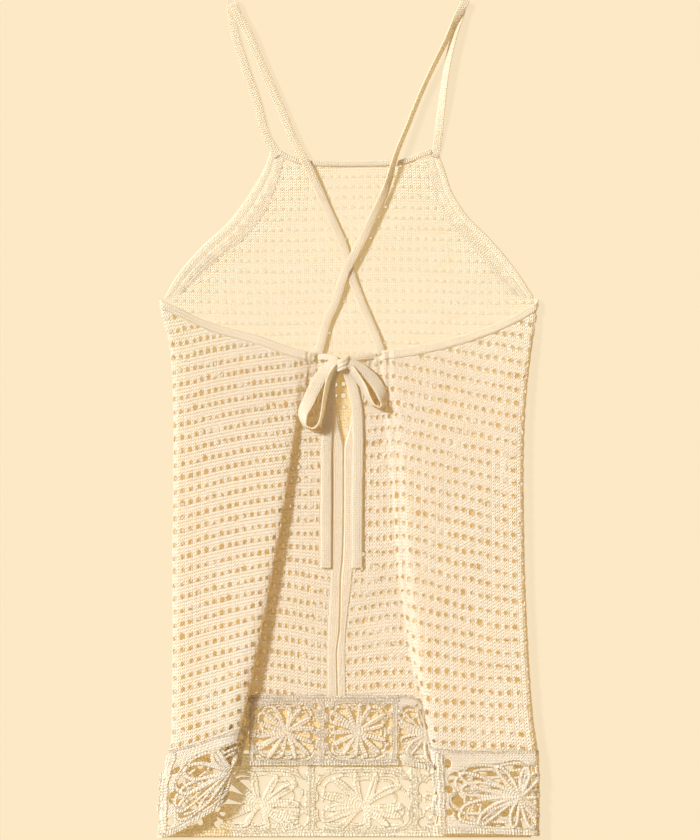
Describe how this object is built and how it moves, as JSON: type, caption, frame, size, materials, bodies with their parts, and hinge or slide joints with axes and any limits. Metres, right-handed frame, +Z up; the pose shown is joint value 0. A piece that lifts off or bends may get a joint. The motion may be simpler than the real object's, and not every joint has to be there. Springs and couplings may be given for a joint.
{
  "type": "crochet mini dress",
  "caption": "Cream crochet mini dress laid flat back up, with crossed straps tied in a bow over a centre-back slit and a hem of flower squares.",
  "frame": {"origin": "middle of the laid-out dress's outline, on the surface it lies on", "axes": "+X across the dress, to the right in the picture; +Y up to the straps; +Z up from the surface"},
  "size_m": [0.3812, 0.838, 0.0191],
  "materials": {
    "crochet_net": "matte",
    "knit_band": "matte",
    "knit_tape": "matte",
    "flower_lace": "matte"
  },
  "bodies": {
    "root": {"front_panel": "crochet_net", "front_armhole_band_left": "knit_band", "front_armhole_band_right": "knit_band", "front_neck_binding": "knit_band", "front_hem_squares": "flower_lace", "back_net_left": "crochet_net", "back_net_right": "crochet_net", "back_casing_left": "knit_band", "back_casing_right": "knit_band", "placket_left": "knit_band", "placket_right": "knit_band", "back_hem_squares_left": "flower_lace", "back_hem_squares_centre": "flower_lace", "back_hem_squares_right": "flower_lace", "strap_left": "knit_tape", "strap_right": "knit_tape", "tie_lead_left": "knit_tape", "tie_lead_right": "knit_tape", "bow_knot": "knit_tape", "bow_loop_left": "knit_tape", "bow_loop_right": "knit_tape", "tie_tail_left": "knit_tape", "tie_tail_right": "knit_tape"}
  },
  "joints": []
}
